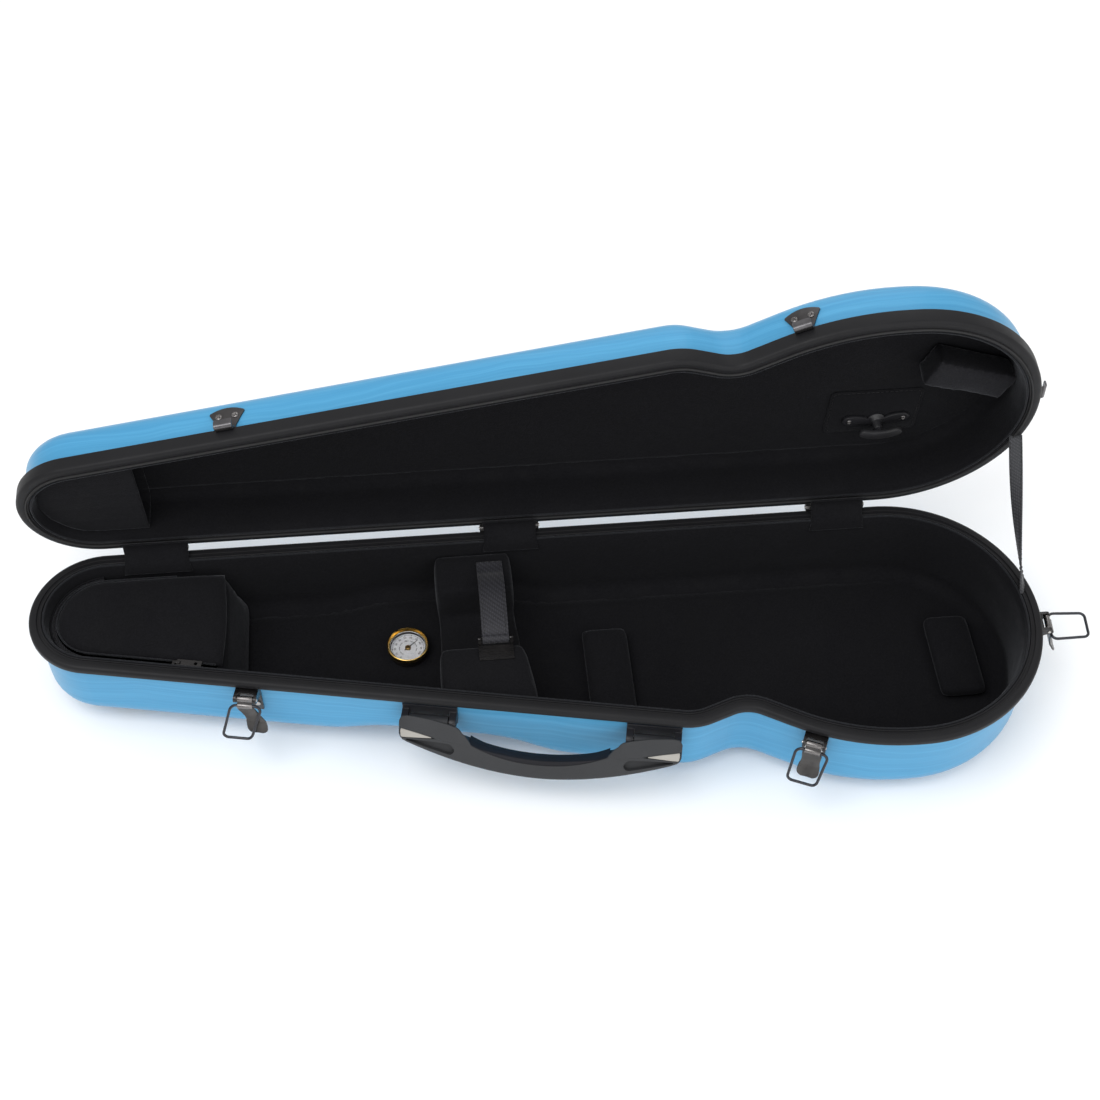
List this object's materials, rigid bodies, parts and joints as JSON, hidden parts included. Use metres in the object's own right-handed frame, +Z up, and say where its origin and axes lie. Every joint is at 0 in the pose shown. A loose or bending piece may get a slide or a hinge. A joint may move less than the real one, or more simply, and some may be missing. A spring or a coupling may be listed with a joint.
{
  "type": "violin case",
  "caption": "Shaped hard case for a full-size violin, hinged lid held open by a strap, plush-lined, with draw latches, carrying handle and accessory pouch.",
  "frame": {"origin": "bottom centre of the open case, on the surface that its feet stand on", "axes": "+X along the lid hinge towards the wide end of the case, +Y towards the hinge side (the handle is on -Y), +Z up"},
  "size_m": [0.8282, 0.285, 0.3137],
  "materials": {
    "shell_blue": "semi-gloss brushed-grain blue shell",
    "trim_charcoal": "satin charcoal rim trim",
    "foam": "closed-cell foam padding",
    "plush_black": "short-pile black plush",
    "foam_block": "plush-covered foam block",
    "webbing_black": "black woven webbing",
    "zip_black": "black coil zip",
    "steel_black": "black lacquered steel",
    "steel_bright": "polished screw heads",
    "handle_grey": "satin dark grey moulded plastic",
    "handle_soft": "soft-touch insert",
    "insert_grey": "pale warm grey insert",
    "rubber_black": "black rubber",
    "gold": "polished gold ring",
    "dial_white": "printed white dial",
    "needle_dark": "dark needle",
    "lens_clear": "clear lens"
  },
  "bodies": {
    "base": {"base_shell": "shell_blue", "base_trim": "trim_charcoal", "base_padding": "foam", "base_lining": "plush_black", "feet": "rubber_black", "neck_cradle": "plush_black", "strap_anchor": "steel_black", "support_pads": "plush_black", "pouch_wall": "plush_black", "pouch_gusset": "plush_black", "pouch_zip": "zip_black", "hygrometer_housing": "needle_dark", "hygrometer_bezel": "gold", "hygrometer_dial": "dial_white", "hygrometer_lens": "lens_clear", "latch_base_a": "steel_black", "latch_base_b": "steel_black", "latch_base_c": "steel_black", "latch_rivets": "steel_bright", "latch_pins": "steel_bright", "handle_bracket_left": "steel_black", "handle_bracket_right": "steel_black", "handle_pins": "steel_bright", "handle_screws": "steel_bright", "hinge_leaves_base": "steel_black", "hinge_pins": "steel_bright", "hinge_rivets_base": "steel_bright", "stay_strap": "webbing_black", "hinge_covers": "plush_black"},
    "lid": {"lid_shell": "shell_blue", "lid_trim": "trim_charcoal", "lid_seal": "rubber_black", "lid_padding": "foam", "lid_lining": "plush_black", "bow_holder_patch": "plush_black", "bow_holder_base": "handle_soft", "bow_holder_screws": "steel_bright", "foam_block": "foam_block", "bow_tip_sleeve": "plush_black", "strike_plate_a": "steel_black", "strike_plate_b": "steel_black", "strike_plate_c": "steel_black", "strike_screws": "steel_bright", "hinge_leaves_lid": "steel_black", "hinge_rivets_lid": "steel_bright"},
    "bow_paddle": {"bow_holder_paddle": "handle_soft"},
    "neck_strap": {"neck_strap": "webbing_black"},
    "pouch_cover": {"pouch_cover": "plush_black"},
    "zip_slider": {"zip_slider": "steel_black"},
    "zip_pull": {"zip_pull": "steel_black"},
    "needle": {"hygrometer_needle": "needle_dark"},
    "handle": {"handle_grip": "handle_grey", "handle_soft_insert": "handle_soft", "handle_inserts": "insert_grey"},
    "latch_lever_a": {"latch_lever_a": "steel_black"},
    "latch_bail_a": {"latch_bail_a": "steel_black"},
    "latch_lever_b": {"latch_lever_b": "steel_black"},
    "latch_bail_b": {"latch_bail_b": "steel_black"},
    "latch_lever_c": {"latch_lever_c": "steel_black"},
    "latch_bail_c": {"latch_bail_c": "steel_black"}
  },
  "joints": [
    {"name": "lid_hinge", "type": "hinge", "parent": "base", "child": "lid", "pos_m": [-0.00213, 0.09373, 0.08625], "axis": [1, 0, 0], "range_deg": [0, 85], "deforming": ["stay_strap", "hinge_covers"]},
    {"name": "bow_paddle_turn", "type": "hinge", "parent": "lid", "child": "bow_paddle", "pos_m": [0.26287, 0.1161, 0.15125], "axis": [0, 0.9962, 0.0872], "range_deg": [-90, 90]},
    {"name": "neck_strap_lift", "type": "hinge", "parent": "base", "child": "neck_strap", "pos_m": [-0.05363, -0.01207, 0.081], "axis": [-1, 0, 0], "range_deg": [-140, 0]},
    {"name": "pouch_cover_lift", "type": "hinge", "parent": "base", "child": "pouch_cover", "pos_m": [-0.32213, 0.07043, 0.078], "axis": [1, 0, 0], "range_deg": [-75, 0]},
    {"name": "zip_slide", "type": "slide", "parent": "base", "child": "zip_slider", "axis": [-0.9822, 0.1881, 0], "range_m": [0, 0.045]},
    {"name": "zip_pull_flip", "type": "hinge", "parent": "zip_slider", "child": "zip_pull", "pos_m": [-0.29813, -0.01362, 0.0801], "axis": [-0.1881, -0.9822, 0], "range_deg": [0, 165]},
    {"name": "needle_turn", "type": "hinge", "parent": "base", "child": "needle", "pos_m": [-0.12263, 0.01593, 0.0364], "axis": [0, 0, 1], "range_deg": [-110, 110]},
    {"name": "handle_swing", "type": "hinge", "parent": "base", "child": "handle", "pos_m": [-0.02501, -0.08831, 0.064], "axis": [-0.9822, 0.188, 0], "range_deg": [0, 60]},
    {"name": "lever_a", "type": "hinge", "parent": "base", "child": "latch_lever_a", "pos_m": [-0.24648, -0.04845, 0.0755], "axis": [-0.9822, 0.188, 0], "range_deg": [-12, 125]},
    {"name": "bail_a", "type": "hinge", "parent": "latch_lever_a", "child": "latch_bail_a", "pos_m": [-0.24701, -0.05119, 0.07053], "axis": [0.9822, -0.188, 0], "range_deg": [-176, 25]},
    {"name": "lever_b", "type": "hinge", "parent": "base", "child": "latch_lever_b", "pos_m": [0.17671, -0.12445, 0.0755], "axis": [-0.917, 0.399, 0], "range_deg": [-12, 125]},
    {"name": "bail_b", "type": "hinge", "parent": "latch_lever_b", "child": "latch_bail_b", "pos_m": [0.1756, -0.127, 0.07053], "axis": [0.917, -0.399, 0], "range_deg": [-176, 25]},
    {"name": "lever_c", "type": "hinge", "parent": "base", "child": "latch_lever_c", "pos_m": [0.38041, -0.029, 0.0755], "axis": [-0.087, -0.9962, 0], "range_deg": [-12, 80]},
    {"name": "bail_c", "type": "hinge", "parent": "latch_lever_c", "child": "latch_bail_c", "pos_m": [0.38318, -0.02925, 0.07053], "axis": [0.087, 0.9962, 0], "range_deg": [-111, 90]}
  ]
}
